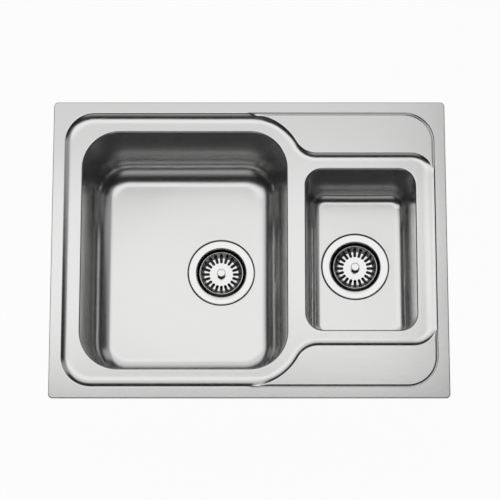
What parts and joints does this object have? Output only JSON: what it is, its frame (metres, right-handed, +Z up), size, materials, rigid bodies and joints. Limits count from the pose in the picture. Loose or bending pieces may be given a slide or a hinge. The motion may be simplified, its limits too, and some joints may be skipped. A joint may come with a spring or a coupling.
{
  "type": "inset kitchen sink",
  "caption": "Inset stainless steel kitchen sink with a main bowl and a half bowl, each with a lift-out basket strainer and waste, and swing claws that clamp it to a worktop.",
  "frame": {"origin": "middle of the rim outline, on the worktop that the rim's seal lies on", "axes": "+Z up; +X right, towards the half bowl; +Y to the back, away from the user"},
  "size_m": [0.65, 0.5, 0.258],
  "materials": {
    "brushed_steel": "satin",
    "polished_steel": "polished",
    "zinc_steel": "zinc plated",
    "black_rubber": "matte",
    "waste_plastic": "moulded",
    "brass": "machined",
    "bitumen_pad": "matte",
    "foam_strip": "foam"
  },
  "bodies": {
    "sink": {"deck": "brushed_steel", "main_bowl": "brushed_steel", "half_bowl": "brushed_steel", "rim_seal": "foam_strip", "main_strainer_cup": "polished_steel", "main_fixing_screw": "zinc_steel", "main_flange_seal": "black_rubber", "main_body_gasket": "black_rubber", "main_waste_body": "waste_plastic", "main_insert_nut": "brass", "main_damping_pad": "bitumen_pad", "half_strainer_cup": "polished_steel", "half_fixing_screw": "zinc_steel", "half_flange_seal": "black_rubber", "half_body_gasket": "black_rubber", "half_waste_body": "waste_plastic", "half_insert_nut": "brass", "half_damping_pad": "bitumen_pad", "clip_lugs": "zinc_steel", "clip_weld_nuts": "zinc_steel"},
    "main_plug": {"main_plug_seal": "black_rubber"},
    "main_basket": {"main_basket": "polished_steel", "main_basket_knob": "polished_steel", "main_plug_clip": "zinc_steel"},
    "half_plug": {"half_plug_seal": "black_rubber"},
    "half_basket": {"half_basket": "polished_steel", "half_basket_knob": "polished_steel", "half_plug_clip": "zinc_steel"},
    "clip_screw_1": {"clip_screw_1": "zinc_steel"},
    "clip_claw_1": {"clip_claw_1": "zinc_steel"},
    "clip_screw_2": {"clip_screw_2": "zinc_steel"},
    "clip_claw_2": {"clip_claw_2": "zinc_steel"},
    "clip_screw_3": {"clip_screw_3": "zinc_steel"},
    "clip_claw_3": {"clip_claw_3": "zinc_steel"},
    "clip_screw_4": {"clip_screw_4": "zinc_steel"},
    "clip_claw_4": {"clip_claw_4": "zinc_steel"},
    "clip_screw_5": {"clip_screw_5": "zinc_steel"},
    "clip_claw_5": {"clip_claw_5": "zinc_steel"},
    "clip_screw_6": {"clip_screw_6": "zinc_steel"},
    "clip_claw_6": {"clip_claw_6": "zinc_steel"},
    "clip_screw_7": {"clip_screw_7": "zinc_steel"},
    "clip_claw_7": {"clip_claw_7": "zinc_steel"},
    "clip_screw_8": {"clip_screw_8": "zinc_steel"},
    "clip_claw_8": {"clip_claw_8": "zinc_steel"}
  },
  "joints": [
    {"name": "main_basket_lift", "type": "slide", "parent": "sink", "child": "main_plug", "axis": [0, 0, 1], "range_m": [0, 0.212]},
    {"name": "main_basket_turn", "type": "hinge", "parent": "main_plug", "child": "main_basket", "pos_m": [-0.048, 0, -0.184], "axis": [0, 0, 1], "continuous": true},
    {"name": "half_basket_lift", "type": "slide", "parent": "sink", "child": "half_plug", "axis": [0, 0, 1], "range_m": [0, 0.168]},
    {"name": "half_basket_turn", "type": "hinge", "parent": "half_plug", "child": "half_basket", "pos_m": [0.1795, 0, -0.14], "axis": [0, 0, 1], "continuous": true},
    {"name": "clip_screw_1_travel", "type": "slide", "parent": "sink", "child": "clip_screw_1", "axis": [0, 0, 1], "range_m": [0, 0.014]},
    {"name": "clip_claw_1_swing", "type": "hinge", "parent": "clip_screw_1", "child": "clip_claw_1", "pos_m": [-0.3015, -0.11, -0.044], "axis": [0, 0, 1], "range_deg": [0, 90]},
    {"name": "clip_screw_2_travel", "type": "slide", "parent": "sink", "child": "clip_screw_2", "axis": [0, 0, 1], "range_m": [0, 0.014]},
    {"name": "clip_claw_2_swing", "type": "hinge", "parent": "clip_screw_2", "child": "clip_claw_2", "pos_m": [-0.3015, 0.11, -0.044], "axis": [0, 0, 1], "range_deg": [0, 90]},
    {"name": "clip_screw_3_travel", "type": "slide", "parent": "sink", "child": "clip_screw_3", "axis": [0, 0, 1], "range_m": [0, 0.014]},
    {"name": "clip_claw_3_swing", "type": "hinge", "parent": "clip_screw_3", "child": "clip_claw_3", "pos_m": [-0.19, 0.2265, -0.044], "axis": [0, 0, 1], "range_deg": [0, 90]},
    {"name": "clip_screw_4_travel", "type": "slide", "parent": "sink", "child": "clip_screw_4", "axis": [0, 0, 1], "range_m": [0, 0.014]},
    {"name": "clip_claw_4_swing", "type": "hinge", "parent": "clip_screw_4", "child": "clip_claw_4", "pos_m": [0.19, 0.2265, -0.044], "axis": [0, 0, 1], "range_deg": [0, 90]},
    {"name": "clip_screw_5_travel", "type": "slide", "parent": "sink", "child": "clip_screw_5", "axis": [0, 0, 1], "range_m": [0, 0.014]},
    {"name": "clip_claw_5_swing", "type": "hinge", "parent": "clip_screw_5", "child": "clip_claw_5", "pos_m": [0.3015, 0.075, -0.044], "axis": [0, 0, 1], "range_deg": [0, 90]},
    {"name": "clip_screw_6_travel", "type": "slide", "parent": "sink", "child": "clip_screw_6", "axis": [0, 0, 1], "range_m": [0, 0.014]},
    {"name": "clip_claw_6_swing", "type": "hinge", "parent": "clip_screw_6", "child": "clip_claw_6", "pos_m": [0.3015, -0.075, -0.044], "axis": [0, 0, 1], "range_deg": [0, 90]},
    {"name": "clip_screw_7_travel", "type": "slide", "parent": "sink", "child": "clip_screw_7", "axis": [0, 0, 1], "range_m": [0, 0.014]},
    {"name": "clip_claw_7_swing", "type": "hinge", "parent": "clip_screw_7", "child": "clip_claw_7", "pos_m": [0.19, -0.2265, -0.044], "axis": [0, 0, 1], "range_deg": [0, 90]},
    {"name": "clip_screw_8_travel", "type": "slide", "parent": "sink", "child": "clip_screw_8", "axis": [0, 0, 1], "range_m": [0, 0.014]},
    {"name": "clip_claw_8_swing", "type": "hinge", "parent": "clip_screw_8", "child": "clip_claw_8", "pos_m": [-0.19, -0.2265, -0.044], "axis": [0, 0, 1], "range_deg": [0, 90]}
  ]
}
